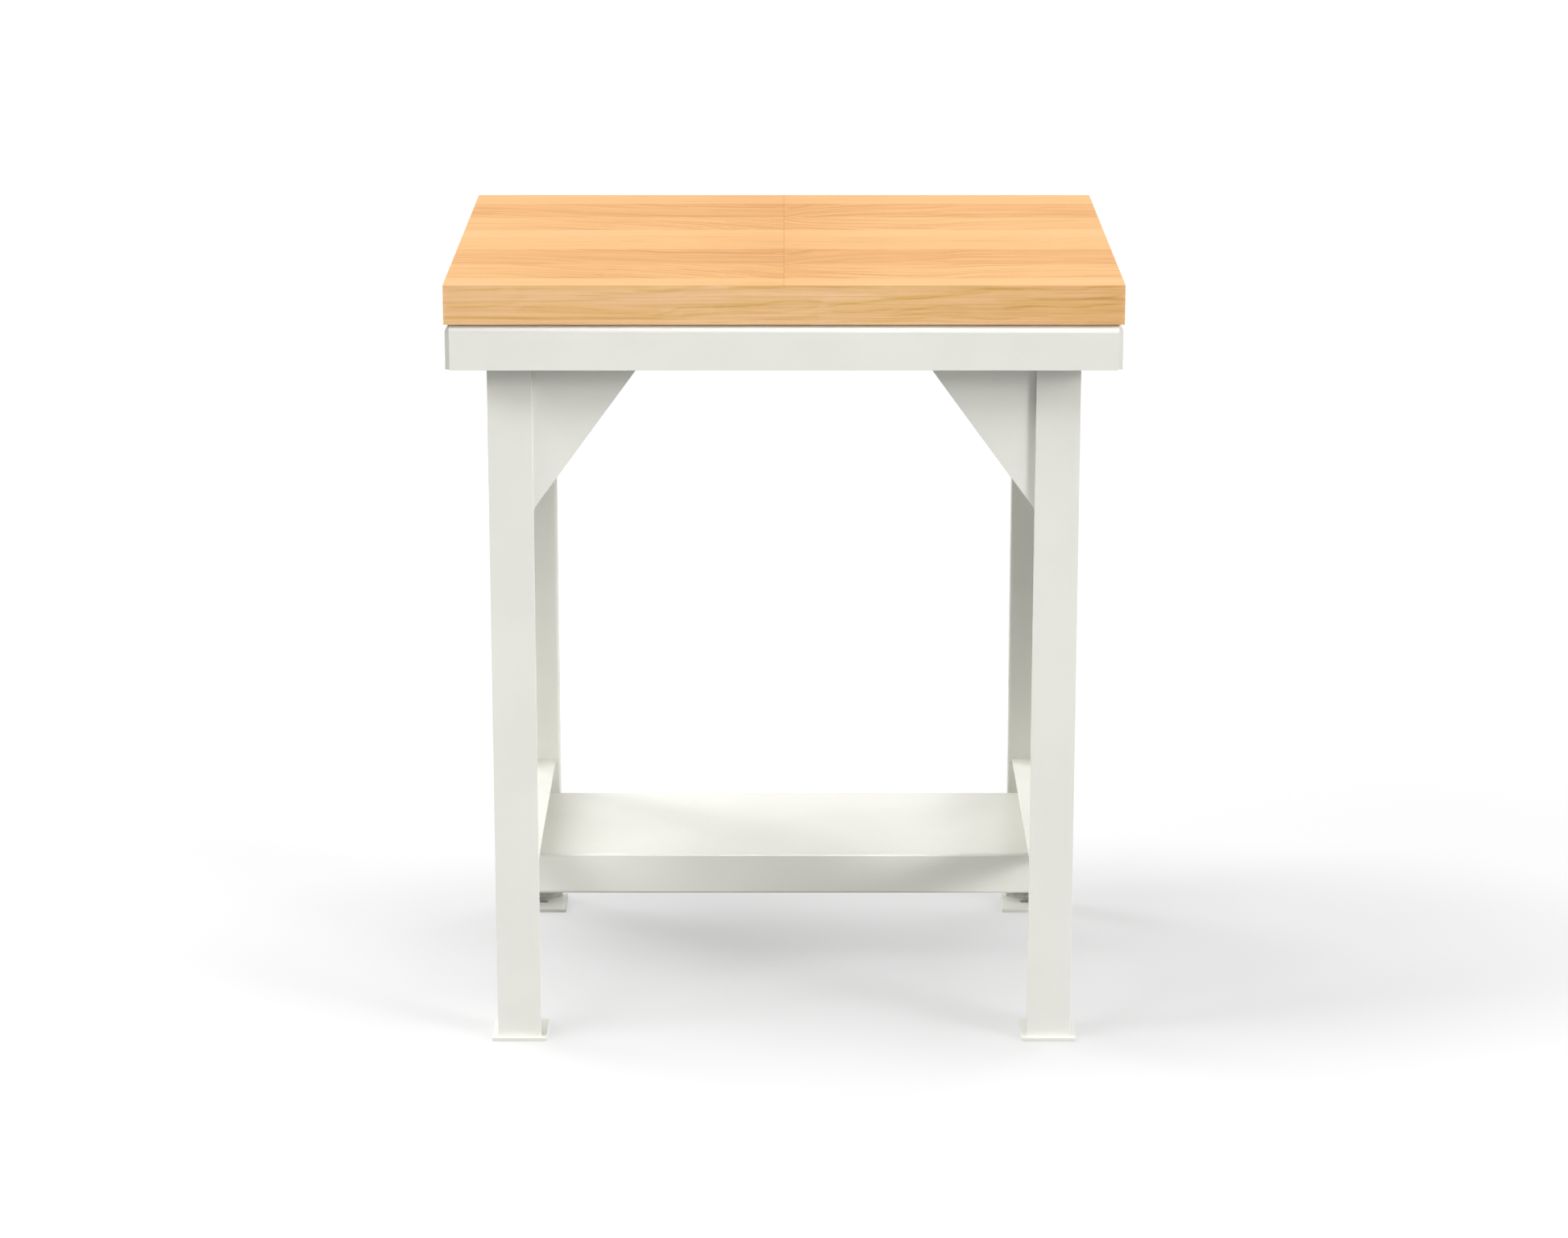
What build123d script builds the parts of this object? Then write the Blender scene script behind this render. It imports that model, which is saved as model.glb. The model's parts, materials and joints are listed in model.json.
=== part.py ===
"""Butcher block table: a wood block on an all-welded frame of plate and steel angle.

Millimetres. The origin is on the floor under the middle of the table, +Z is up,
and the table's front faces -Y. Nothing on it moves.
"""
from build123d import *
import os

os.makedirs("parts", exist_ok=True)

IN = 25.4

# Wood block: two panels that meet at the middle of the table, each a run of staves
block_width = 30 * IN
block_depth = 24 * IN
block_thickness = 1.75 * IN
table_height = 35.8125 * IN
stave_widths = (1.69 * IN, 3.47 * IN, 3.81 * IN, 3.46 * IN)   # front to back, then again

# Top pan: plate folded down on all four sides, its corners left open
pan_setback = IN / 32           # from the block's edge to the face of the flange
pan_sheet = 3 * IN / 16
pan_drop = 2.0625 * IN          # full height of the flange
pan_inner_bend = 7 * IN / 32
corner_gap = IN / 64            # between one flange's end and the flange beside it
flange_end_radius = 0.16 * IN   # rounding where a flange's end meets the bend

# Legs: equal steel angle, heel outwards
leg_inset = 1.75 * IN           # from the block's edge to the leg's outer faces
leg_width = 2 * IN
leg_wall = IN / 4
leg_toe_radius = 0.155 * IN
leg_root_radius = IN / 8

# Foot plates, one anchor hole in each
foot_margin = IN / 4            # how far the plate stands out past the leg, all round
foot_sheet = 3 * IN / 16
anchor_hole = 5 * IN / 8

# Gussets: flat plates behind the legs' flanges, up against the pan
gusset_sheet = 3 * IN / 16
gusset_run = 7.375 * IN         # along the pan
gusset_fall = 10 * IN           # down the leg
gusset_lap = 1.25 * IN          # width of gusset behind the leg's flange
gusset_nose = IN / 4            # blunt end at each tip

# Side rails: equal steel angle from front leg to rear leg, one flange flat on top
rail_top = 7.5 * IN
rail_width = 1.5 * IN
rail_wall = 3 * IN / 16
rail_toe_radius = 0.09 * IN
rail_root_radius = 0.09 * IN
cope_clearance = 0.5            # between the rail's cut corner and the leg's root

# Shelf: sheet folded down at front and rear with a lip turned in, welded under the rails
shelf_depth = 10 * IN
shelf_rear_gap = 0.9 * IN       # between the shelf and the rear legs' flanges
shelf_drop = 2 * IN
shelf_lip = IN / 2
shelf_sheet = 0.075 * IN
shelf_inner_bend = IN / 16

# Lag screws and washers that hold the block down on the pan
screw_inner_x = 3 * IN
screw_outer_x = 10 * IN
screw_row_y = 6 * IN
screw_diameter = 3 * IN / 8
screw_length = 1.5 * IN         # under the head
screw_tip = IN / 4
head_flats = 9 * IN / 16
head_height = IN / 4
head_chamfer = 0.8
screw_clearance = IN / 32       # between the screw and the washer or pan, each side
washer_diameter = 1 * IN
washer_sheet = IN / 12
pilot_extra = IN / 16           # how far the bore in the wood runs past the screw

# Levels and faces that follow
block_bottom = table_height - block_thickness
pan_width = block_width - 2 * pan_setback
pan_depth = block_depth - 2 * pan_setback
pan_under = block_bottom - pan_sheet
leg_x = block_width / 2 - leg_inset
leg_y = block_depth / 2 - leg_inset
flange_x = leg_x - leg_wall     # inner faces of the legs' flanges
flange_y = leg_y - leg_wall
rail_bottom = rail_top - rail_width
bore_depth = screw_length - washer_sheet - pan_sheet + pilot_extra
screw_points = [
    (side * across, row * screw_row_y)
    for side in (-1, 1)
    for across in (screw_inner_x, screw_outer_x)
    for row in (-1, 1)
]


def write(piece, name):
    piece.label = name
    export_step(piece, f"parts/{name}.step")


def write_left_and_right(piece, name):
    """Write a piece of the right side, and its mirror image."""
    write(piece, f"{name}_right")
    write(mirror(piece, about=Plane.YZ), f"{name}_left")


def write_corners(piece, name):
    """Write a piece of the right rear corner, and its images at the other three."""
    write_left_and_right(piece, f"{name}_rear")
    write_left_and_right(mirror(piece, about=Plane.XZ), f"{name}_front")


def angle_section(plane, heel_x, heel_y, width, wall, toe_radius, root_radius):
    """Section of an equal angle: its flanges run from the heel towards -x and -y."""
    toes = [(heel_x - width, heel_y - wall), (heel_x - wall, heel_y - width)]
    root = (heel_x - wall, heel_y - wall)
    with BuildSketch(plane) as section:
        with BuildLine():
            Polyline(
                (heel_x, heel_y),
                (heel_x - width, heel_y),
                toes[0],
                root,
                toes[1],
                (heel_x, heel_y - width),
                close=True,
            )
        make_face()
        for corner, radius in ((toes[0], toe_radius), (toes[1], toe_radius), (root, root_radius)):
            fillet(section.vertices().sort_by_distance((*corner, 0))[0], radius=radius)
    return section.sketch


# Wood block


def stave(x_start, x_end, y_start, y_end):
    """One stave with its share of the screws' bores, which come up from below."""
    with BuildPart() as board:
        with BuildSketch(Plane.XY.offset(block_bottom)):
            with Locations(((x_start + x_end) / 2, (y_start + y_end) / 2)):
                Rectangle(x_end - x_start, y_end - y_start)
        extrude(amount=block_thickness)
        with Locations(*[Plane((x, y, block_bottom), z_dir=(0, 0, -1)) for x, y in screw_points]):
            Hole(radius=screw_diameter / 2, depth=bore_depth)
    return board.part


stave_start = -block_depth / 2
stave_count = 0
while stave_start < block_depth / 2:
    stave_end = min(stave_start + stave_widths[stave_count % len(stave_widths)], block_depth / 2)
    stave_count += 1
    write(stave(-block_width / 2, 0, stave_start, stave_end), f"block_stave_left_{stave_count}")
    write(stave(0, block_width / 2, stave_start, stave_end), f"block_stave_right_{stave_count}")
    stave_start = stave_end


# Top pan

pan_bend = pan_inner_bend + pan_sheet
corner_relief = pan_sheet + corner_gap

# The column that is open at the right rear corner: neither the rear flange, which ends
# short in X, nor the right flange, which ends short in Y, fills it
with BuildPart() as open_corner:
    with BuildSketch(Plane.XY.offset(block_bottom)):
        with Locations((pan_width / 2, pan_depth / 2)):
            Rectangle(pan_bend, pan_bend, align=(Align.MAX, Align.MAX))
    extrude(amount=-pan_drop)
    for flange_plane, flange_length in ((Plane.XZ, pan_width), (Plane.YZ, pan_depth)):
        with BuildSketch(flange_plane) as flange_outline:
            with Locations((0, block_bottom)):
                Rectangle(flange_length - 2 * corner_relief, pan_drop, align=(Align.CENTER, Align.MAX))
            fillet(flange_outline.vertices().group_by(Axis.Y)[-1], radius=flange_end_radius)
        extrude(amount=max(pan_width, pan_depth), both=True, mode=Mode.SUBTRACT)

with BuildPart() as top_pan:
    with BuildSketch(Plane.XY.offset(block_bottom)):
        Rectangle(pan_width, pan_depth)
    extrude(amount=-pan_drop)
    fillet(top_pan.faces().sort_by(Axis.Z)[-1].edges(), radius=pan_bend)
    offset(amount=-pan_sheet, openings=top_pan.faces().sort_by(Axis.Z)[0])
    for corner in (open_corner.part, mirror(open_corner.part, about=Plane.YZ, mode=Mode.PRIVATE)):
        add(corner, mode=Mode.SUBTRACT)
        add(mirror(corner, about=Plane.XZ, mode=Mode.PRIVATE), mode=Mode.SUBTRACT)
    with Locations(*[(x, y, block_bottom) for x, y in screw_points]):
        Hole(radius=screw_diameter / 2 + screw_clearance, depth=pan_sheet)
write(top_pan.part, "top_pan")

# Legs, foot plates and gussets, made for the right rear corner

leg_section = angle_section(
    Plane.XY.offset(foot_sheet), leg_x, leg_y, leg_width, leg_wall, leg_toe_radius, leg_root_radius
)
with BuildPart() as leg:
    extrude(leg_section, amount=pan_under - foot_sheet)
write_corners(leg.part, "leg")

foot_width = leg_width + 2 * foot_margin
with BuildPart() as foot_plate:
    with BuildSketch():
        with Locations((leg_x - leg_width / 2, leg_y - leg_width / 2)):
            Rectangle(foot_width, foot_width)
            Circle(anchor_hole / 2, mode=Mode.SUBTRACT)
    extrude(amount=foot_sheet)
write_corners(foot_plate.part, "foot_plate")

gusset_outer = leg_x - leg_width + gusset_lap
gusset_inner = gusset_outer - gusset_run
with BuildPart() as gusset:
    with BuildSketch(Plane.XZ.offset(-flange_y)):
        with BuildLine():
            Polyline(
                (gusset_inner, pan_under),
                (gusset_outer, pan_under),
                (gusset_outer, pan_under - gusset_fall),
                (gusset_outer - gusset_nose, pan_under - gusset_fall),
                (gusset_inner, pan_under - gusset_nose),
                close=True,
            )
        make_face()
    extrude(amount=gusset_sheet)
write_corners(gusset.part, "gusset")

# Side rails and shelf

cope = leg_root_radius + cope_clearance
rail_section = angle_section(
    Plane.XZ, flange_x, rail_top, rail_width, rail_wall, rail_toe_radius, rail_root_radius
)
with BuildPart() as side_rail:
    extrude(rail_section, amount=flange_y, both=True)
    with BuildSketch(Plane.XY.offset(rail_bottom)):
        with Locations((flange_x, -flange_y), (flange_x, flange_y)):
            Rectangle(cope * 2 ** 0.5, cope * 2 ** 0.5, rotation=45)
    extrude(amount=rail_width, mode=Mode.SUBTRACT)
write_left_and_right(side_rail.part, "side_rail")

shelf_rear = flange_y - shelf_rear_gap
shelf_front = shelf_rear - shelf_depth
with BuildPart() as shelf:
    with BuildSketch(Plane.YZ):
        with BuildLine():
            FilletPolyline(
                (shelf_front + shelf_lip, rail_bottom - shelf_drop),
                (shelf_front, rail_bottom - shelf_drop),
                (shelf_front, rail_bottom),
                (shelf_rear, rail_bottom),
                (shelf_rear, rail_bottom - shelf_drop),
                (shelf_rear - shelf_lip, rail_bottom - shelf_drop),
                radius=shelf_inner_bend + shelf_sheet,
            )
            offset(amount=shelf_sheet, side=Side.RIGHT)
        make_face()
    extrude(amount=flange_x, both=True)
write(shelf.part, "shelf")

# Lag screws and washers, seated up against the pan

with BuildPart() as lag_screws:
    with BuildSketch(Plane.XY.offset(pan_under - washer_sheet - head_height)):
        with Locations(*screw_points):
            RegularPolygon(head_flats / 2, 6, major_radius=False)
    extrude(amount=head_height)
    chamfer(lag_screws.faces().sort_by(Axis.Z)[: len(screw_points)].edges(), length=head_chamfer)
    with BuildSketch(Plane.XY.offset(pan_under - washer_sheet)):
        with Locations(*screw_points):
            Circle(screw_diameter / 2)
    extrude(amount=screw_length - screw_tip)
    with Locations(*[(x, y, pan_under - washer_sheet + screw_length - screw_tip) for x, y in screw_points]):
        Cone(screw_diameter / 2, 0, screw_tip, align=(Align.CENTER, Align.CENTER, Align.MIN))
write(lag_screws.part, "lag_screws")

with BuildPart() as washers:
    with BuildSketch(Plane.XY.offset(pan_under - washer_sheet)):
        with Locations(*screw_points):
            Circle(washer_diameter / 2)
            Circle(screw_diameter / 2 + screw_clearance, mode=Mode.SUBTRACT)
    extrude(amount=washer_sheet)
write(washers.part, "washers")
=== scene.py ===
"""Looks of the butcher block table: finishes, weld beads, floor, lights and camera."""
import json
import math

import bmesh
import bpy
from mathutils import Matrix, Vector


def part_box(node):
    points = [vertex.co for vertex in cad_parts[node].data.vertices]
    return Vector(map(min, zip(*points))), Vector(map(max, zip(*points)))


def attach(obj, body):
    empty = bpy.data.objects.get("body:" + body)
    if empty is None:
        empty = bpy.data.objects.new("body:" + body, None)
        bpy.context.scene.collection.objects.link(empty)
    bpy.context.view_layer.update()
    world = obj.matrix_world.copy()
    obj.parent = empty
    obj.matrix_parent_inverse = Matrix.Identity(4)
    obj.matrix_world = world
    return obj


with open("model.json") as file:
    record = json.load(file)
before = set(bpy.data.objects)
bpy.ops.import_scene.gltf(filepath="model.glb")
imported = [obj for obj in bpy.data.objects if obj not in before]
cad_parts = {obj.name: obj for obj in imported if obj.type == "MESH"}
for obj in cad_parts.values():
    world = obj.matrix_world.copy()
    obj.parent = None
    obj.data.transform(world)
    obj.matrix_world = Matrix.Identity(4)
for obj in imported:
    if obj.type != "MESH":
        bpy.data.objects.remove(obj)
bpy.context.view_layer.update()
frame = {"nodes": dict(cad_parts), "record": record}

IN = 0.0254

CAMERA_PLACE = (0.0, -5.149, 1.820)     # m
CAMERA_DIP = 14.97                      # degrees below the horizon
CAMERA_LENS = 101.18                    # mm
SENSOR_WIDTH = 36.0                     # mm
CAMERA_REACH = 200.0                    # m

# Soft lights, far away on all sides: degrees round from the front towards the right, degrees up,
# tightness and strength
LIGHTS = (
    (315, 41, 120, 13.8),
    (289, 33, 120, 17.8),
    (270, 65, 20, 1.9),
    (240, 15, 60, 22.8),
    (184, 60, 120, 2.1),
    (134, 44, 60, 5.4),
    (70, 25, 60, 5.6),
    (56, 17, 110, 35.7),
    (46, 43, 120, 4.1),
    (0, 90, 8, 1.5),
)

# One more, given in the same way, that shows only where it is mirrored, most on rounded edges
MIRRORED = (0, 45, 8, 18.0)

# The floor: its shade as the table is lit by it and as it is seen. Where it is seen it is also lifted
# towards white, less under the table than away from it, which paints a shadow pool there
FLOOR_SIZE = 60.0               # m
FLOOR_SHADE = 0.40
FLOOR_SEEN = 0.29
FLOOR_UNEVEN = 0.005            # share by which the shade varies, up and down
FLOOR_LIFT = 0.481
FLOOR_LIFT_AWAY = 0.62
PAINTED_SHADOW_MIDDLE = (10.0, 2.0)     # inches on the floor
PAINTED_SHADOW_ASPECT = 2.3             # how much wider than deep
PAINTED_SHADOW_FADE = (21.0, 46.0)      # inches from its middle, to the sides

# Metal's colours as they show, 0 to 1 in sRGB, and the share of them where they are darkest
PAINT = (0.896, 0.896, 0.866)
PAINT_DARKEST = 0.985
ZINC = (0.66, 0.66, 0.67)
ZINC_DARKEST = 0.85

EASE = 0.025                    # inches, rounding of the steel's edges
EASE_SEGMENTS = 2

# Weld beads, inches and degrees
WELD = 0.17                     # leg of the fillet
RIPPLE = 0.13                   # from one ripple to the next
RINGS_PER_RIPPLE = 5
BEAD_ANGLES = (-14, 0, 18, 36, 54, 72, 90, 104)     # round the bead, from face to face
TOE_MARGIN = 0.2                # what a bead leaves free at the toes of the leg
ROOT_MARGIN = 0.25              # and at its root
STITCH = 1.5                    # length of a short bead
STITCHES = 3                    # in a row
GUSSET_PITCH = 3.2              # from one short bead to the next
SHELF_PITCH = 3.3
RAIL_WALL = 3 / 16              # the side rails' thickness

# Wood: mean albedo, how much each channel falls as the grain darkens, and as it yellows
WOOD = (0.757, 0.465, 0.225)
WOOD_DARKENING = (0.62, 1.0, 1.8)
WOOD_YELLOWING = (0.1, 0.0, 1.0)

# How dark each feature of the wood is, and the painted shade on the top. The first three go by how
# strong the figure is
RINGS = 0.26                    # growth rings
FINE_RINGS = 0.14               # and finer ones between them
LINES = 0.24                    # thin lines
BROAD = 0.03                    # wide bands along the grain
MOTTLE = 0.03
FIBRES = 0.06
PORES = 0.12
SEAM = 0.3                      # the joint in the middle of the top
TOP_PAINTED_SHADE = 0.365                # painted shade: the whole top darker than the long faces, against the strong light from above
END_TONE = 0.16                 # the ends as a whole
END_RINGS = 0.16                # growth rings on the ends
RAYS = 0.03                     # rays across them

YELLOWS = 0.08                  # how much yellower or paler the long grain is in patches

FACE_FIGURE = 0.5               # figure of the long faces
FACE_FINENESS = 1.6             # how much finer their grain is than the top's
SEAM_SIDES = (0.008, 0.03)      # inches from the joint, over which it fades out
HEART_STEP = 4.5991             # inches towards the back, from one heart of rings to the next
HEART_HEIGHT = 29.0             # inches above the floor; each next one is an inch higher

# Dark lines in the grain
LINES_LOW, LINES_HIGH = -0.5, 4.5   # inches, range of the points' second number, below
SHARPNESS = 2.2                 # the larger, the narrower is a line of a given width
WANDER = 0.8                    # how far a line strays, against its width
FADE = 0.7                      # inches, over which it fades in or out at its ends
FADE_SHARE = 0.4                # of its length, at the most
EDGE = 0.001                    # inches, that keeps a board's front edge with its own board

# The four kinds of stave, front to back and then again. Their grain is given in inches from
# the middle of the table and, for the streaks' second number, from the stave's front edge:
#   tone     how dark, along the stave
#   flow     how far the grain drifts towards the back, along the stave
#   figure   how strongly the growth lines show
#   streaks  dark lines as (width, depth, points)
KINDS = ("pale", "slanted", "amber", "plain")
STAVES = {
    ("left", "pale"): {
        "figure": 0.35,
        "tone": ((-15, -0.20), (-12, -0.17), (-6, -0.155), (-3, -0.13), (0, -0.09)),
        "flow": ((-15, 0.0), (-6, 0.0), (0, 0.5)),
        "streaks": (
            (0.10, 0.14, ((-5.2, -0.05), (-4.3, 0.08), (-3, 0.3), (-1.7, 0.4), (0, 0.53))),
            (0.08, 0.06, ((-7.2, 0.62), (-6.2, 0.69), (-5.2, 0.66))),
        ),
    },
    ("left", "slanted"): {
        "figure": 0.9,
        "tone": ((-15, -0.13), (-11, -0.05), (-8.5, 0.0), (-4, -0.02), (0, 0.05)),
        "flow": ((-15, 4.4), (-13, 4.4), (-9, 3.4), (-6.5, 2.9), (0, 0.0)),
        "streaks": (
            (0.16, 0.16, (
                (-13.2, 1.34), (-12.2, 1.03), (-11.2, 0.66), (-10.2, 0.35), (-8.6, 0.12),
            )),
            (0.12, 0.05, ((-15, 1.29), (-14, 1.31), (-12.8, 1.29))),
            (0.10, 0.14, ((-15, 0.14), (-13.6, 0.17), (-12, 0.14), (-8, 0.12))),
            (0.16, 0.18, ((-8.7, 1.4), (-8.35, 1.0), (-7.9, 0.6))),
            (0.18, 0.16, (
                (-8.2, 2.2), (-6.8, 2.02), (-6.3, 1.76), (-5.7, 1.45), (-4.7, 0.98), (-3.7, 0.72),
            )),
            (0.15, 0.22, ((-6.2, 2.35), (-5, 1.86), (-4.2, 1.5), (-3.5, 1.18), (-2.7, 0.75))),
            (0.17, 0.26, (
                (-4.9, 2.4), (-3.7, 1.91), (-2.8, 1.55), (-1.8, 1.18), (-1, 0.77), (0, 0.2),
            )),
            (0.16, 0.20, ((-2.9, 1.95), (-1.7, 1.65), (-0.8, 1.24), (0, 0.85))),
            (0.20, 0.28, ((-2.7, 0.95), (-2.35, 0.5), (-1.6, 0.05))),
            (0.14, 0.08, ((-2.2, 2.65), (-0.8, 2.4), (0, 2.3))),
            (0.35, 0.05, ((-10.6, 2.4), (-9, 2.2), (-7.6, 2.0))),
        ),
    },
    ("left", "amber"): {
        "figure": 1.0,
        "tone": ((-15, 0.0), (-12, 0.03), (-8, 0.065), (-4, 0.09), (-1.5, 0.12), (0, 0.16)),
        "flow": ((-15, 2.1), (-13, 1.9), (-8, 0.75), (-5.5, 0.3), (0, 0.0)),
        "streaks": (
            (0.16, 0.13, (
                (-15, 2.86), (-13.3, 2.66), (-11.7, 2.29), (-10, 1.87), (-8.3, 1.55), (-7.4, 1.3),
                (-5, 1.27),
            )),
            (0.22, 0.09, ((-14.6, 1.88), (-12.8, 1.77), (-11, 1.4), (-10.2, 1.04), (-8.8, 0.3))),
            (0.14, 0.06, ((-13.2, 3.4), (-10.8, 2.92), (-9.3, 2.4), (-8.3, 2.03), (-6.6, 1.75))),
            (0.15, 0.13, (
                (-9.6, 3.65), (-8.3, 3.23), (-7.5, 2.86), (-6.3, 2.55), (-5, 2.29), (-3.3, 2.08),
                (0, 1.87),
            )),
            (0.16, 0.42, (
                (-7.2, 3.75), (-6.4, 3.5), (-5.75, 3.1), (-5, 3.0), (-4.3, 3.1), (-3.5, 3.07),
                (-2.5, 2.92), (-0.3, 2.7),
            )),
            (0.32, 0.20, ((-2.1, 3.8), (-1.1, 3.45), (0, 3.2))),
            (0.10, 0.12, ((-3, 0.47), (-1.2, 0.49), (0, 0.46))),
            (0.08, 0.10, ((-3.8, 1.07), (-3.2, 1.08), (-2.5, 1.05))),
            (0.08, 0.08, ((-3.8, 0.68), (-3.2, 0.66), (-2.5, 0.66))),
            (0.20, 0.08, ((-10.2, 0.35), (-9.4, 0.28), (-8.6, 0.3))),
        ),
    },
    ("left", "plain"): {
        "figure": 0.4,
        "tone": ((-15, -0.12), (-10, -0.08), (-7, -0.065), (-4, -0.055), (-3, -0.02), (0, 0.0)),
        "flow": ((-15, 0.2), (-8, 0.0), (0, 0.0)),
        "streaks": (
            (0.14, 0.20, ((-7.6, 2.2), (-7.1, 2.17), (-6.4, 2.2))),
            (0.10, 0.09, ((-7.2, 2.3), (-6.7, 2.55), (-5.8, 2.75))),
            (0.10, 0.08, ((-7.2, 2.05), (-6.5, 1.8), (-5.8, 1.7))),
            (0.60, 0.03, ((-4.6, 2.2), (-3, 2.2), (0, 2.1))),
            (0.09, 0.10, ((-3.9, 0.6), (-2, 0.55), (0, 0.58))),
            (0.12, 0.14, ((-7.6, 0.02), (-6.6, 0.03), (-5.8, 0.02))),
            (0.12, 0.12, ((-4.4, 0.02), (-2, 0.03), (0, 0.03))),
        ),
    },
    ("right", "pale"): {
        "figure": 0.35,
        "tone": ((0, -0.09), (2, -0.12), (5, -0.175), (9, -0.185), (15, -0.20)),
        "flow": ((0, 0.0), (8, 0.1), (15, 0.0)),
        "streaks": ((0.12, 0.04, ((9.5, 1.2), (11, 1.15), (12.5, 1.2))),),
    },
    ("right", "slanted"): {
        "figure": 0.9,
        "tone": ((0, 0.03), (1.5, -0.02), (4, -0.08), (8, -0.10), (15, -0.12)),
        "flow": ((0, 1.6), (0.8, 1.0), (2, 0.6), (4, 0.25), (6.5, 0.0), (9, 0.5), (15, 0.9)),
        "streaks": (
            (0.18, 0.24, ((0, 3.5), (0.5, 3.0), (1.5, 2.7), (2.7, 2.54), (4.6, 2.36))),
            (0.18, 0.22, ((0, 2.85), (0.7, 2.33), (1.3, 1.97), (2.3, 1.76), (4.4, 1.53))),
            (0.18, 0.24, (
                (0, 1.85), (0.7, 1.45), (1.7, 1.19), (2.8, 1.03), (3.8, 0.82), (5, 0.56),
                (7.3, 0.36),
            )),
            (0.34, 0.18, ((0, 0.5), (1.2, 0.35), (3.4, 0.12))),
            (0.10, 0.12, ((4.7, 2.0), (5.7, 1.93), (6.8, 1.85))),
            (0.08, 0.06, ((4.0, 2.55), (5, 2.56), (6.6, 2.54))),
            (0.30, 0.06, ((6.0, 1.1), (7.5, 1.34), (8.3, 1.7), (9.5, 1.95))),
            (0.14, 0.10, ((10.4, 1.65), (11.7, 1.9), (14.2, 2.15))),
            (0.24, 0.11, ((10.7, 0.1), (11.8, 0.35), (13.3, 0.56), (15, 0.5))),
            (0.09, 0.11, ((7.4, 0.15), (9, 0.16), (11, 0.16))),
            (0.24, 0.05, ((8.9, 1.4), (9.9, 1.42), (10.9, 1.38))),
            (0.14, 0.07, ((11.9, 2.55), (12.6, 2.5), (13.2, 2.52))),
        ),
    },
    ("right", "amber"): {
        "figure": 1.0,
        "tone": ((0, 0.15), (1.5, 0.12), (4, 0.065), (6, 0.03), (11, 0.035), (15, 0.05)),
        "flow": ((0, 0.0), (1.4, 1.0), (4.5, 2.0), (7, 2.3), (8.5, 2.7), (15, 2.7)),
        "streaks": (
            (0.34, 0.36, ((0.1, 2.4), (0.75, 2.9), (1.2, 3.4), (1.6, 3.8))),
            (0.22, 0.26, ((1.4, 3.4), (2.0, 3.6), (2.7, 3.75))),
            (0.15, 0.13, ((2.4, 2.95), (3.3, 3.24), (4.2, 3.45), (4.9, 3.7))),
            (0.13, 0.09, ((3.3, 2.75), (4.2, 3.1), (5.5, 3.45))),
            (0.16, 0.08, ((2.2, 1.1), (3.5, 1.83), (4.6, 2.2))),
            (0.16, 0.14, ((6.9, 2.55), (7.8, 3.1), (8.6, 3.75))),
            (0.14, 0.10, ((10.4, 2.9), (10.8, 3.15), (11.2, 3.5))),
            (0.24, 0.17, (
                (1.4, 0.25), (2.5, 0.6), (4.2, 0.64), (5.2, 0.74), (6, 0.88), (7.2, 0.79),
                (8.3, 0.74), (9.6, 0.92),
            )),
            (0.22, 0.15, (
                (10.6, 0.3), (11.7, 0.43), (12.3, 0.64), (13.3, 0.79), (14, 0.64), (15, 0.25),
            )),
            (0.08, 0.10, ((12.3, 1.27), (13.3, 1.28), (14.4, 1.27))),
            (0.30, 0.08, ((11.2, 2.38), (12, 2.4), (12.8, 2.36))),
        ),
    },
    ("right", "plain"): {
        "figure": 0.4,
        "tone": ((0, -0.01), (1.5, -0.05), (4, -0.07), (7, -0.10), (15, -0.12)),
        "flow": ((0, 0.2), (5, 0.0), (9, 0.1), (15, 0.9)),
        "streaks": (
            (0.10, 0.10, ((2.1, 2.32), (3, 2.3), (5.2, 2.0))),
            (0.12, 0.09, ((2.9, 3.1), (4.4, 2.75), (5.2, 2.3))),
            (0.08, 0.06, ((2.1, 1.56), (3, 1.55), (4, 1.55))),
            (0.24, 0.05, ((8.2, 1.95), (10, 2.15), (12, 2.55))),
            (0.14, 0.10, ((9.9, 1.35), (11.7, 1.6), (12.7, 1.8), (14.2, 1.9))),
            (0.30, 0.07, ((0, 0.9), (0.8, 0.8), (2.2, 0.85))),
            (0.12, 0.14, ((0, 0.03), (1.5, 0.02), (3, 0.02))),
        ),
    },
}

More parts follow.
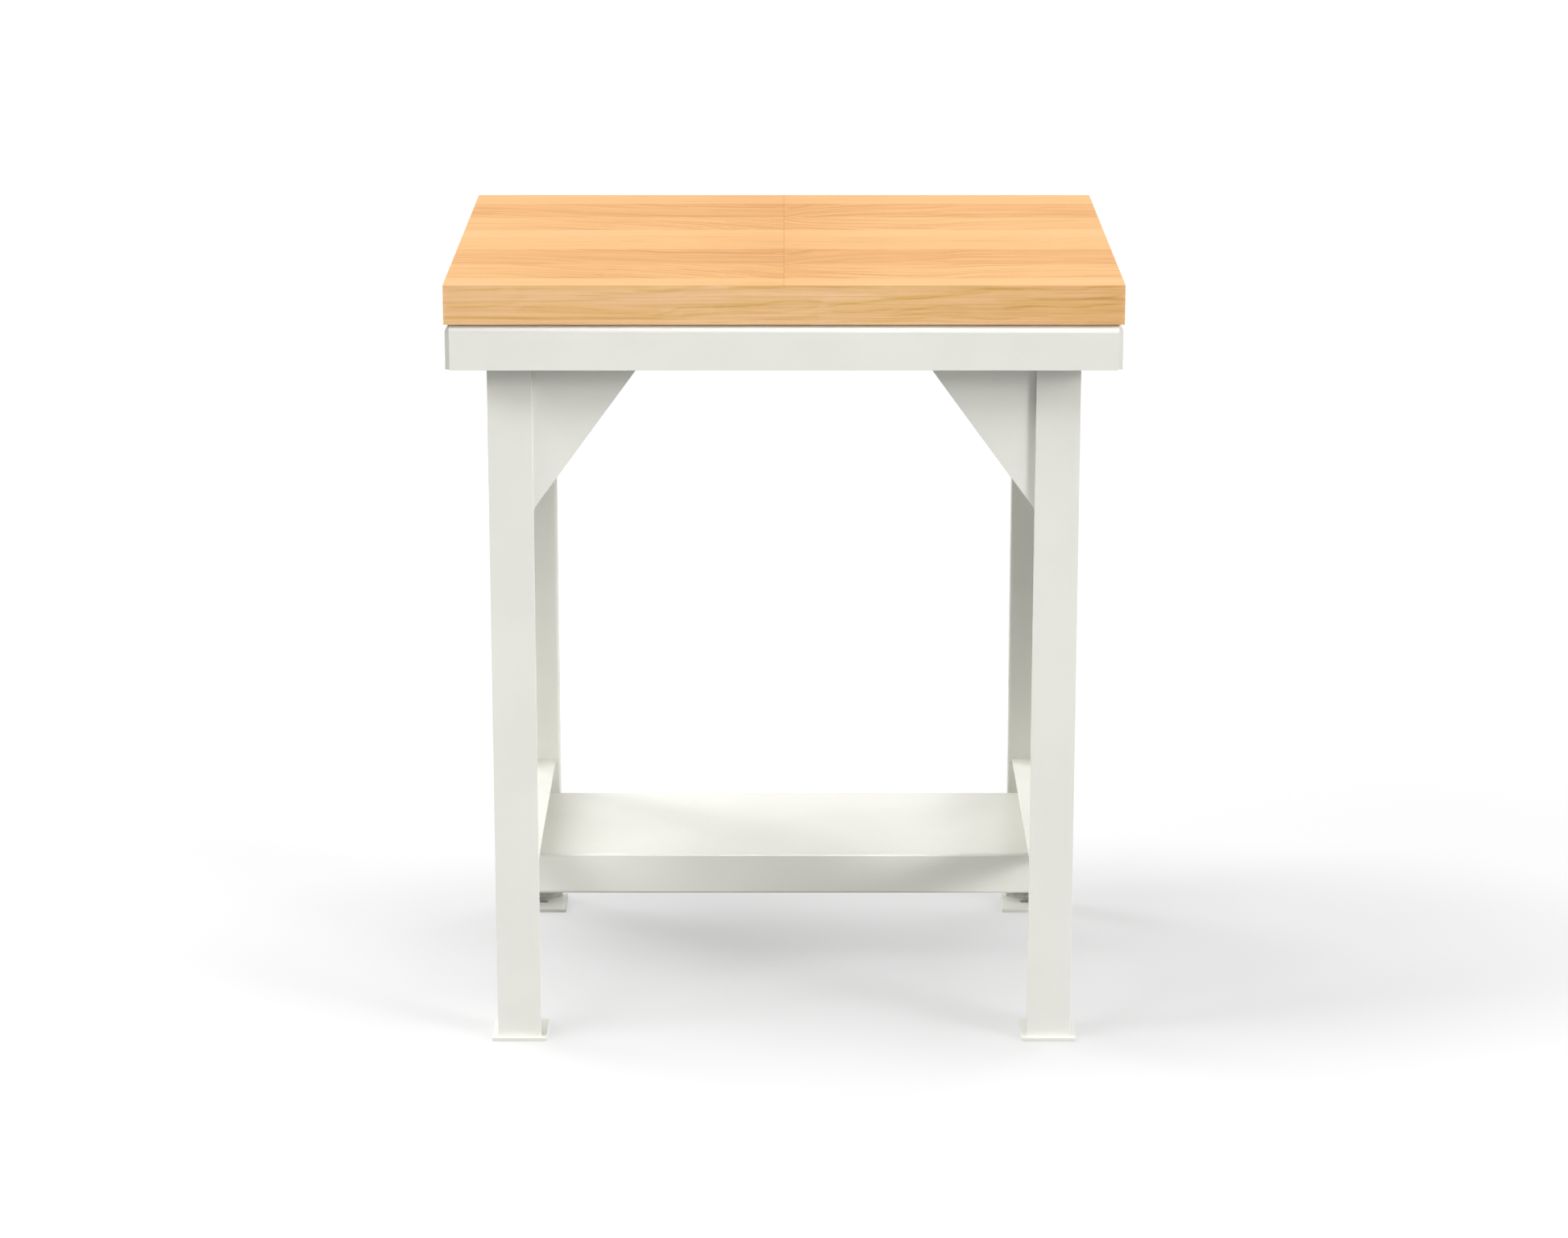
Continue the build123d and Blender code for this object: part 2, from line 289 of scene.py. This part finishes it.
# The long faces of the block, front and back, in inches from the underside up
FACE_TONE = (
    (-15, -0.06), (-6, -0.08), (1.5, -0.085), (4, -0.07), (8, -0.04), (12, 0.0), (15, 0.06),
)
FACE_STREAKS = (
    (0.09, 0.14, ((-15, 0.76), (-13.3, 0.76), (-12.8, 0.87), (-11.6, 1.0))),
    (0.10, 0.11, (
        (-11.9, 0.64), (-11, 0.78), (-9.5, 0.78), (-8.3, 0.66), (-7, 0.59), (-5.2, 0.63),
    )),
    (0.14, 0.06, ((-11.9, 0.58), (-9, 0.6), (-7, 0.5), (-5.2, 0.47))),
    (0.09, 0.13, ((-15, 0.31), (-12, 0.3), (-10, 0.34), (-8.3, 0.3), (-5.3, 0.28))),
    (0.10, 0.13, ((-5.8, 0.4), (-5, 0.56), (-4.6, 0.72), (-3.3, 0.81), (-2.5, 0.82))),
    (0.10, 0.18, ((-3.2, 0.81), (-2.6, 0.82), (-1, 0.91), (-0.3, 1.03), (0.7, 1.08), (1.8, 1.02))),
    (0.10, 0.13, ((-4.6, 0.38), (-3.3, 0.5), (-2.3, 0.59), (-0.7, 0.56), (0.5, 0.66), (1.6, 0.84))),
    (0.11, 0.08, ((-3.5, 0.1), (-1.7, 0.16), (-0.3, 0.25), (1.7, 0.37))),
    (0.09, 0.17, (
        (1.8, 0.82), (2.7, 0.94), (3.5, 0.99), (4.4, 1.09), (6.2, 1.2), (7.8, 1.34), (9.2, 1.5),
    )),
    (0.09, 0.15, ((2.0, 0.6), (3, 0.57), (3.8, 0.61), (4.9, 0.71))),
    (0.10, 0.13, ((4.2, 1.15), (5.8, 1.28), (7.2, 1.38), (8.2, 1.5), (9, 1.59), (10.7, 1.59))),
    (0.12, 0.15, ((8.6, 1.58), (10.7, 1.59), (12.7, 1.56), (13.8, 1.69), (15, 1.78))),
    (0.09, 0.17, ((9.2, 1.05), (11, 1.09), (12.5, 1.12), (13.7, 1.16), (15, 1.31))),
    (0.09, 0.14, (
        (4.5, 0.47), (5.2, 0.62), (6, 0.72), (7, 0.8), (8.3, 0.75), (9.7, 0.75), (11, 0.81),
    )),
    (0.09, 0.17, ((9.5, 0.75), (11, 0.81), (12.7, 0.78), (14, 0.88), (15, 0.95))),
    (0.08, 0.13, (
        (4.5, 0.36), (6, 0.5), (7, 0.56), (8.3, 0.53), (9.7, 0.5), (11, 0.56), (12.7, 0.5),
        (15, 0.6),
    )),
    (0.08, 0.12, (
        (4.4, 0.25), (5.7, 0.28), (6.7, 0.37), (8, 0.34), (9.3, 0.26), (11, 0.36), (12.5, 0.3),
        (15, 0.35),
    )),
    (0.08, 0.07, ((2.2, 0.14), (4.4, 0.19), (7.6, 0.16))),
    (0.10, 0.12, ((13.2, 0.12), (14.2, 0.1), (15, 0.09))),
    (0.14, 0.07, ((-15, 1.47), (-14, 1.53), (-12.2, 1.65))),
    (0.16, 0.07, ((-12, 1.6), (-9.2, 1.57), (-6.7, 1.56), (-5.4, 1.52))),
    (0.12, 0.14, ((-6.7, 1.55), (-5.6, 1.51), (-5, 1.54), (-4.2, 1.64), (-3.3, 1.76))),
    (0.12, 0.12, ((-2.6, 1.7), (-0.8, 1.66), (0.2, 1.72), (1.7, 1.69), (4.4, 1.69))),
    (0.14, 0.05, ((-4.8, 1.3), (-3.3, 1.44), (-1.8, 1.6))),
    (0.25, -0.05, ((-11.5, 1.15), (-9, 1.2), (-5, 1.2), (-2, 1.25))),
    (0.18, -0.05, ((-2, 1.35), (1, 1.4), (4.2, 1.35))),
    (0.14, -0.05, ((-4.5, 0.3), (-1.5, 0.36), (1.5, 0.55))),
)


def inches(node):
    """The low and high corners of a node's box."""
    return [[c / IN for c in corner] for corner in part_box(node)]


def linear(colour, share=1.0):
    """An sRGB colour, or a share of it, as the RGBA that a shader takes."""
    shown = [share * c for c in colour]
    return (*(c / 12.92 if c <= 0.04045 else ((c + 0.055) / 1.055) ** 2.4 for c in shown), 1.0)


class Nodes:
    """The node tree of a material or a world. Most methods add nodes and return an output."""

    def __init__(self, owner, shader="Principled BSDF"):
        owner.use_nodes = True
        self.owner = owner
        self.tree = owner.node_tree
        self.shader = self.tree.nodes[shader]

    def add(self, kind, inputs, output=0, **settings):
        node = self.tree.nodes.new(f"ShaderNode{kind}")
        for name, value in settings.items():
            setattr(node, name, value)
        for key, value in inputs.items():
            self.set(node, key, value)
        return node.outputs[output]

    def set(self, node, key, value):
        if isinstance(value, bpy.types.NodeSocket):
            self.tree.links.new(value, node.inputs[key])
        else:
            node.inputs[key].default_value = value

    def math(self, operation, *values):
        return self.add("Math", dict(enumerate(values)), operation=operation)

    def total(self, *values):
        result = values[0]
        for value in values[1:]:
            result = self.math("ADD", result, value)
        return result

    def times(self, first, second):
        return self.math("MULTIPLY", first, second)

    def less(self, first, second):
        return self.math("SUBTRACT", first, second)

    def distance(self, first, second):
        """From the origin to the point (first, second)."""
        return self.math("SQRT", self.total(self.times(first, first), self.times(second, second)))

    def place(self):
        """Where a point is on the object, in metres."""
        return self.add("TexCoord", {}, "Object")

    def place_in_inches(self):
        return self.parts(self.add("VectorMath", {0: self.place(), "Scale": 1 / IN}, operation="SCALE"))

    def parts(self, vector):
        """The vector's three components."""
        return list(self.add("SeparateXYZ", {0: vector}).node.outputs)

    def noise(self, vector, scale=1.0, detail=2.0):
        """Noise about 0, hardly ever beyond -1 and 1."""
        value = self.add("TexNoise", {"Vector": vector, "Scale": scale, "Detail": detail}, "Fac")
        return self.math("MULTIPLY_ADD", value, 3.0, -1.5)

    def stretched(self, first, first_scale, second, second_scale, third=0.0, detail=2.0):
        """Noise at the point (first, second, third), with scales of its own for two of them."""
        scaled = {0: self.times(first, first_scale), 1: self.times(second, second_scale), 2: third}
        return self.noise(self.add("CombineXYZ", scaled), detail=detail)

    def between(self, value, low, high, to_low=0.0, to_high=1.0):
        """A smooth step from to_low to to_high while value goes from low to high."""
        inputs = {"Value": value, 1: low, 2: high, 3: to_low, 4: to_high}
        return self.add("MapRange", inputs, interpolation_type="SMOOTHSTEP")

    def curve(self, share, points):
        """A smooth curve through the points (share, result), all of them from 0 to 1."""
        socket = self.add("FloatCurve", {"Value": share})
        mapping = socket.node.mapping
        mapping.extend = "HORIZONTAL"
        line = mapping.curves[0].points
        line[0].location, line[1].location = points[0], points[-1]
        for point in points[1:-1]:
            line.new(*point)
        for point in line:
            point.handle_type = "AUTO_CLAMPED"
        mapping.update()
        return socket

    def blend(self, factor, first, second):
        """Two numbers mixed."""
        return self.add("Mix", {0: factor, 2: first, 3: second}, 0, data_type="FLOAT")

    def mix(self, factor, first, second):
        """Two colours mixed."""
        return self.add("Mix", {0: factor, 6: first, 7: second}, 2, data_type="RGBA")

    def bump(self, height, strength, distance):
        return self.add("Bump", {"Height": height, "Strength": strength, "Distance": distance})

    def finish(self, **inputs):
        for key, value in inputs.items():
            self.set(self.shader, key.replace("_", " "), value)
        return self.owner


def material(name):
    return Nodes(bpy.data.materials.new(name))


def background_seen(nodes):
    """1 for the rays that show the white background: the camera's, reflections and glass."""
    path = nodes.add("LightPath", {}).node.outputs
    mirrored = nodes.math("MAXIMUM", path["Is Glossy Ray"], path["Is Transmission Ray"])
    return nodes.math("MAXIMUM", path["Is Camera Ray"], mirrored)


def paint():
    """Satin powder coat: faint orange peel and a little unevenness in tone and gloss."""
    nodes = material("powder_coat")
    place = nodes.place()
    tone = nodes.noise(place, scale=9.0, detail=3.0)
    peel = nodes.noise(place, scale=420.0, detail=1.0)
    gloss = nodes.noise(place, scale=60.0)
    darkest = linear(PAINT, PAINT_DARKEST)
    return nodes.finish(
        Base_Color=nodes.mix(nodes.between(tone, -0.6, 0.6), linear(PAINT), darkest),
        Roughness=nodes.between(gloss, -0.6, 0.6, 0.36, 0.44),
        Specular_IOR_Level=0.3,
        Normal=nodes.bump(peel, strength=0.06, distance=0.0002),
    )


def zinc():
    """Zinc plating, mottled."""
    nodes = material("zinc_plate")
    tone = nodes.noise(nodes.place(), scale=300.0, detail=3.0)
    darkest = linear(ZINC, ZINC_DARKEST)
    return nodes.finish(
        Base_Color=nodes.mix(nodes.between(tone, -0.7, 0.7), linear(ZINC), darkest),
        Metallic=1.0,
        Roughness=nodes.between(tone, -0.6, 0.6, 0.3, 0.45),
    )


class Stretch:
    """A length of wood from start to end along x, inches, with curves given in inches on it."""

    def __init__(self, nodes, x, start, end):
        self.nodes = nodes
        self.start = start
        self.length = end - start
        self.share = nodes.math("MULTIPLY_ADD", x, 1 / self.length, -start / self.length)

    def curve(self, points, low, high):
        """A curve whose results, from low to high, come out from 0 to 1."""
        scaled = [((x - self.start) / self.length, (y - low) / (high - low)) for x, y in points]
        return self.nodes.curve(self.share, scaled)

    def value(self, points):
        """The curve through the points (x, value)."""
        low = min(value for _, value in points)
        high = max(value for _, value in points) + 0.001    # never the same as low
        return self.nodes.math("MULTIPLY_ADD", self.curve(points, low, high), high - low, low)

    def presence(self, start, end, depth):
        """How dark a line is from start to end: it fades out there, unless the wood ends too."""
        fade = min(FADE, FADE_SHARE * (end - start))
        points = [(start + fade, depth), (end - fade, depth)]
        if start > self.start:
            points.insert(0, (start, 0.0))
        if end < self.start + self.length:
            points.append((end, 0.0))
        return self.curve(points, 0.0, 1.0)

    def streaks(self, across, lines):
        """Darkness of the dark lines in the grain, each (width, depth, points along it)."""
        nodes = self.nodes
        x = nodes.times(self.share, self.length)
        wander = nodes.times(nodes.stretched(x, 0.7, across, 2.0, detail=3.0), WANDER)
        patches = nodes.stretched(x, 0.49, across, 1.4)
        strands = nodes.stretched(x, 0.35, across, 14.0, detail=3.0)
        strength = nodes.times(
            nodes.between(patches, -0.8, 0.8, 0.6, 1.4),
            nodes.between(strands, -0.7, 0.7, 0.55, 1.45),
        )
        reach = LINES_HIGH - LINES_LOW
        across = nodes.math("MULTIPLY_ADD", across, 1 / reach, -LINES_LOW / reach)
        dark = 0.0
        for width, depth, points in lines:
            off = nodes.less(across, self.curve(points, LINES_LOW, LINES_HIGH))
            off = nodes.math("MULTIPLY_ADD", off, SHARPNESS * reach / width, wander)
            presence = self.presence(points[0][0], points[-1][0], abs(depth))
            # dark in the middle, with soft edges
            band = nodes.math("DIVIDE", presence, nodes.math("MULTIPLY_ADD", off, off, 1.0))
            dark = nodes.math("MULTIPLY_ADD", band, math.copysign(1.0, depth), dark)
        return nodes.times(dark, strength)


def grain(nodes, x, across, seed, figure):
    """Long grain: growth lines, fibres and pores, as darkness, height and yellowness.

    figure is how strongly the growth lines show.
    """
    sway = nodes.stretched(x, 0.12, across, 0.3, seed)
    across = nodes.math("MULTIPLY_ADD", sway, 0.12, across)
    broad = nodes.stretched(x, 0.07, across, 1.1, seed, detail=3.0)
    rings = nodes.stretched(x, 0.08, across, 3.4, seed, detail=3.0)
    fine_rings = nodes.stretched(x, 0.16, across, 9.0, seed)
    ridges = nodes.math("ABSOLUTE", nodes.stretched(x, 0.06, across, 2.6, seed + 5.0))
    mottle = nodes.stretched(x, 0.8, across, 2.2, seed + 3.0, detail=4.0)
    fibres = nodes.stretched(x, 1.1, across, 45.0, seed, detail=3.0)
    pores = nodes.stretched(x, 2.4, across, 80.0, seed, detail=1.0)
    pores = nodes.between(pores, 0.35, 0.8)
    dark = nodes.total(
        nodes.times(broad, BROAD),
        nodes.times(nodes.between(rings, 0.0, 0.6), RINGS * figure),
        nodes.times(nodes.between(fine_rings, 0.1, 0.5), FINE_RINGS * figure),
        nodes.times(nodes.between(ridges, 0.0, 0.16, 1.0, 0.0), LINES * figure),
        nodes.times(mottle, MOTTLE),
        nodes.times(fibres, FIBRES),
        nodes.times(pores, PORES),
    )
    height = nodes.less(nodes.times(fibres, 0.3), pores)
    yellow = nodes.stretched(x, 0.35, across, 1.3, seed + 7.0)
    return dark, height, nodes.times(yellow, YELLOWS)


def end_grain(nodes, y, z, seed):
    """Growth rings, rays and pores across the grain, in the form that grain gives.

    The rings lie round a heart below the block, at another place for each kind of board.
    """
    off_y = nodes.less(y, HEART_STEP * seed)
    off_z = nodes.less(z, HEART_HEIGHT + seed)
    wander = nodes.stretched(y, 0.9, z, 0.9, seed)
    radius = nodes.math("MULTIPLY_ADD", wander, 0.05, nodes.distance(off_y, off_z))
    rings = nodes.noise(nodes.add("CombineXYZ", {0: nodes.times(radius, 9.0), 1: seed}))
    rays = nodes.stretched(nodes.math("ARCTAN2", off_y, off_z), 260.0, radius, 1.5, detail=1.0)
    pores = nodes.between(nodes.stretched(y, 60.0, z, 60.0, seed, detail=1.0), 0.45, 0.8)
    dark = nodes.total(
        END_TONE,
        nodes.times(nodes.between(rings, -0.2, 0.6), END_RINGS),
        nodes.times(rays, RAYS),
        nodes.times(pores, PORES),
    )
    return dark, nodes.times(pores, -1.0), 0.0


def wood(kind, side):
    """Pale maple, one kind of stave in the left or right half of the block."""
    nodes = material(f"maple_{kind}_{side}")
    look = STAVES[side, kind]
    number = KINDS.index(kind)
    x, y, z = nodes.place_in_inches()

    # the top: from the front edge of the stave, the same for its two places in the block
    first_low = inches(f"block_stave_{side}_1")[0]
    repeat = inches(f"block_stave_{side}_{len(KINDS) + 1}")[0][1] - first_low[1]
    board_low, board_high = inches(f"block_stave_{side}_{number + 1}")
    along = Stretch(nodes, x, board_low[0], board_high[0])
    across = nodes.math("MODULO", nodes.less(y, board_low[1] - repeat - EDGE), repeat)
    drift = along.value(look["flow"])
    fine, top_height, top_yellow = grain(nodes, x, nodes.less(y, drift), 1.0, look["figure"])
    seam = nodes.between(nodes.math("ABSOLUTE", x), *SEAM_SIDES, SEAM, 0.0)
    streaks = along.streaks(across, look["streaks"])
    # painted shade: the top's darkness holds a share that offsets the strong light from above
    top = nodes.total(TOP_PAINTED_SHADE, along.value(look["tone"]), streaks, fine, seam)

    # the long faces: from the underside up, across both halves of the block
    up = nodes.less(z, board_low[2])
    finer = nodes.times(up, FACE_FINENESS)
    face, face_height, face_yellow = grain(nodes, x, finer, 5.0 + number, FACE_FIGURE)
    if kind in (KINDS[0], KINDS[-1]):
        block_end = inches("block_stave_right_1")[1][0]
        whole = Stretch(nodes, x, -block_end, block_end)
        streaks = whole.streaks(up, FACE_STREAKS)
        face = nodes.total(face, whole.value(FACE_TONE), streaks)
        face_yellow = nodes.math("ADD", face_yellow, streaks)

    end, end_height, end_yellow = end_grain(nodes, y, z, 1.0 + number)

    normal = nodes.add("NewGeometry", {}, "True Normal")
    sideways, _, upward = (nodes.math("ABSOLUTE", part) for part in nodes.parts(normal))
    is_top = nodes.between(upward, 0.6, 0.8)
    is_end = nodes.between(sideways, 0.6, 0.8)

    def shown(of_face, of_top, of_end):
        return nodes.blend(is_end, nodes.blend(is_top, of_face, of_top), of_end)

    dark = shown(face, top, end)
    yellow = shown(face_yellow, top_yellow, end_yellow)
    height = shown(face_height, top_height, end_height)
    channels = []
    for level, darkening, yellowing in zip(WOOD, WOOD_DARKENING, WOOD_YELLOWING):
        fall = nodes.math("MULTIPLY_ADD", yellow, -yellowing, nodes.times(dark, -darkening))
        channels.append(nodes.times(nodes.math("EXPONENT", fall), level))
    return nodes.finish(
        Base_Color=nodes.add("CombineColor", dict(enumerate(channels))),
        Roughness=nodes.between(height, -1.0, 0.5, 0.6, 0.46),
        Specular_IOR_Level=0.25,
        Normal=nodes.bump(height, strength=0.15, distance=0.00012),
    )


def give(node, finish):
    shown = frame["nodes"][node]
    shown.data.materials.clear()
    shown.data.materials.append(finish)


def ease(node):
    """Take the sharpness off a steel piece's edges, as deburring and paint do."""
    shown = frame["nodes"][node]
    weld = shown.modifiers.new("weld", "WELD")
    weld.merge_threshold = 0.00001
    flat = shown.modifiers.new("flat", "DECIMATE")
    flat.decimate_type = "DISSOLVE"
    flat.angle_limit = math.radians(1.0)
    edge = shown.modifiers.new("edge", "BEVEL")
    edge.width = EASE * IN
    edge.segments = EASE_SEGMENTS
    edge.limit_method = "ANGLE"
    edge.angle_limit = math.radians(40.0)
    edge.harden_normals = True


def bead(shape, start, end, first, second, size):
    """Add a rippled fillet weld to shape, along the corner from start to end.

    first and second point away from the corner, one along each of the two faces.
    """
    start, end, first, second = (Vector(v) for v in (start, end, first, second))
    length = (end - start).length
    stations = max(6, round(length / RIPPLE * RINGS_PER_RIPPLE))
    rings = []
    for station in range(stations + 1):
        along = station / stations
        distance = along * length
        ripple = 0.055 * math.cos(2 * math.pi * distance / RIPPLE)
        unevenness = 0.03 * math.sin(7.3 * distance + 90 * size)
        rounding = min(1.0, 0.25 + min(distance, length - distance) / size) ** 0.5
        radius = size * rounding * (0.9 + ripple + unevenness)
        ring = []
        for angle in map(math.radians, BEAD_ANGLES):
            flatness = 1.0 - 0.16 * abs(math.sin(2 * angle))
            outward = first * math.cos(angle) + second * math.sin(angle)
            point = start.lerp(end, along) + outward * radius * flatness
            ring.append(shape.verts.new(point * IN))
        rings.append(ring)
    for ring, following in zip(rings, rings[1:]):
        for i in range(len(ring)):
            j = (i + 1) % len(ring)
            shape.faces.new((ring[i], ring[j], following[j], following[i])).smooth = True
    shape.faces.new(rings[0])
    shape.faces.new(rings[-1])


def welds(name, beads, finish, side=1, row=1):
    """One piece made of beads, given for the right rear corner and mirrored by side and row."""
    shape = bmesh.new()
    for ends_and_faces in beads:
        places = [(x * side, y * row, z) for x, y, z in ends_and_faces]
        bead(shape, *places, WELD)
    bmesh.ops.recalc_face_normals(shape, faces=shape.faces)
    mesh = bpy.data.meshes.new(name)
    shape.to_mesh(mesh)
    shape.free()
    mesh.materials.append(finish)
    piece = bpy.data.objects.new(name, mesh)
    bpy.context.scene.collection.objects.link(piece)
    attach(piece, "root")


def stitches(first, pitch):
    """Where the short beads of a row start and end."""
    starts = [first + n * pitch for n in range(STITCHES)]
    return [(start, start + STITCH) for start in starts]


def corner_beads():
    """The beads round the right rear leg, on the inner sides of the joints.

    Each is its start, its end and the directions of its two faces, away from the corner. The
    bare numbers are what a bead leaves free at its ends, in inches.
    """
    leg_low, leg_high = inches("leg_rear_right")
    gusset_low, gusset_high = inches("gusset_rear_right")
    rail_low, rail_high = inches("side_rail_right")
    x, y = rail_high[0], rail_high[1]           # the inner faces of the leg's flanges
    rail_wall, rail_under = x - RAIL_WALL, rail_high[2] - RAIL_WALL
    toe_x, toe_y = leg_low[0] + TOE_MARGIN, leg_low[1] + TOE_MARGIN
    root_x, root_y = x - ROOT_MARGIN, y - ROOT_MARGIN
    foot, top = leg_low[2], leg_high[2]
    left, right = (-1, 0, 0), (1, 0, 0)
    forward, up, down = (0, -1, 0), (0, 0, 1), (0, 0, -1)
    beads = [
        # leg to foot plate
        ((toe_x, y, foot), (root_x, y, foot), forward, up),
        ((x, toe_y, foot), (x, root_y, foot), left, up),
        # leg and gusset to pan
        ((x, toe_y, top), (x, root_y, top), left, down),
        ((gusset_low[0] + 0.3, gusset_low[1], top), (gusset_high[0], gusset_low[1], top), forward, down),
        # rail to leg
        ((leg_low[0] + 0.5, y, rail_under), (x - 0.4, y, rail_under), forward, down),
        ((rail_wall, y, rail_low[2] + 0.1), (rail_wall, y, rail_under - 0.2), left, forward),
    ]
    # gusset to leg
    for start, end in stitches(gusset_low[2] + 0.7, GUSSET_PITCH):
        beads.append(((gusset_high[0], y, start), (gusset_high[0], y, end), right, forward))
    return beads


def shelf_beads():
    """The row between the shelf's top and the right rail's upright flange."""
    shelf_low, shelf_high = inches("shelf")
    wall, top = inches("side_rail_right")[1][0] - RAIL_WALL, shelf_high[2]
    left, up = (-1, 0, 0), (0, 0, 1)
    rows = stitches(shelf_low[1] + 1.0, SHELF_PITCH)
    return [((wall, start, top), (wall, end, top), left, up) for start, end in rows]


def floor():
    """A wide pale floor that keeps the shadow and whitens away from it; its lesser lift near the table
    is a painted shadow.
    """
    mesh = bpy.data.meshes.new("floor")
    reach = FLOOR_SIZE / 2
    corners = [(-reach, -reach, 0.0), (reach, -reach, 0.0), (reach, reach, 0.0), (-reach, reach, 0.0)]
    mesh.from_pydata(corners, [], [(0, 1, 2, 3)])
    plane = bpy.data.objects.new("floor", mesh)
    bpy.context.scene.collection.objects.link(plane)
    nodes = material("floor")
    seen = background_seen(nodes)
    unevenness = nodes.noise(nodes.place(), scale=0.8)
    shade = nodes.between(unevenness, -1.0, 1.0, 1.0 - FLOOR_UNEVEN, 1.0 + FLOOR_UNEVEN)
    shade = nodes.times(shade, nodes.blend(seen, FLOOR_SHADE, FLOOR_SEEN))
    x, y, _ = nodes.place_in_inches()
    x = nodes.less(x, PAINTED_SHADOW_MIDDLE[0])
    y = nodes.times(nodes.less(y, PAINTED_SHADOW_MIDDLE[1]), PAINTED_SHADOW_ASPECT)
    # painted shadow: the floor is lifted less towards white near the table than away from it
    lift_and_painted_shadow = nodes.between(nodes.distance(x, y), *PAINTED_SHADOW_FADE, FLOOR_LIFT, FLOOR_LIFT_AWAY)
    mesh.materials.append(nodes.finish(
        Base_Color=nodes.add("CombineColor", {0: shade, 1: shade, 2: shade}),
        Roughness=1.0,
        Specular_IOR_Level=0.0,
        Emission_Color=(1.0, 1.0, 1.0, 1.0),
        Emission_Strength=nodes.times(seen, lift_and_painted_shadow),
    ))


def studio():
    """Light from all sides, over a background that is white where it is seen."""
    sky = bpy.data.worlds.new("studio")
    bpy.context.scene.world = sky
    nodes = Nodes(sky, "Background")
    direction = nodes.add("TexCoord", {}, "Generated")

    def glow(round_degrees, up_degrees, tightness, strength):
        turn, rise = math.radians(round_degrees), math.radians(up_degrees)
        flat = math.cos(rise)
        towards = (flat * math.sin(turn), -flat * math.cos(turn), math.sin(rise))
        vectors = {0: direction, 1: towards}
        facing = nodes.add("VectorMath", vectors, "Value", operation="DOT_PRODUCT")
        shape = nodes.math("EXPONENT", nodes.math("MULTIPLY_ADD", facing, tightness, -tightness))
        return nodes.times(shape, strength)

    lights = nodes.total(*(glow(*light) for light in LIGHTS))
    glossy = nodes.add("LightPath", {}, "Is Glossy Ray")
    mirrored = nodes.times(glossy, glow(*MIRRORED))
    nodes.finish(
        Color=(1.0, 1.0, 1.0, 1.0),
        Strength=nodes.total(nodes.blend(background_seen(nodes), lights, 1.0), mirrored),
    )


def camera():
    lens = bpy.data.cameras.new("camera")
    lens.sensor_width = SENSOR_WIDTH
    lens.lens = CAMERA_LENS
    lens.clip_end = CAMERA_REACH
    shown = bpy.data.objects.new("camera", lens)
    bpy.context.scene.collection.objects.link(shown)
    shown.location = CAMERA_PLACE
    shown.rotation_euler = (math.radians(90.0 - CAMERA_DIP), 0.0, 0.0)
    bpy.context.scene.camera = shown


bpy.context.scene.view_settings.view_transform = "Standard"
camera()
floor()
studio()

finishes = {"frame_paint": paint(), "screw_steel": zinc()}
for side in ("left", "right"):
    for number, kind in enumerate(KINDS, start=1):
        board = wood(kind, side)
        give(f"block_stave_{side}_{number}", board)
        give(f"block_stave_{side}_{number + len(KINDS)}", board)
for entry in frame["record"]["subparts"]:
    node, slot = entry["node"], entry["material_slot"]
    if slot in finishes:
        give(node, finishes[slot])
    if slot == "frame_paint":
        ease(node)

for side_name, side in (("left", -1), ("right", 1)):
    welds(f"welds_shelf_{side_name}", shelf_beads(), finishes["frame_paint"], side)
    for row_name, row in (("front", -1), ("rear", 1)):
        welds(f"welds_{row_name}_{side_name}", corner_beads(), finishes["frame_paint"], side, row)
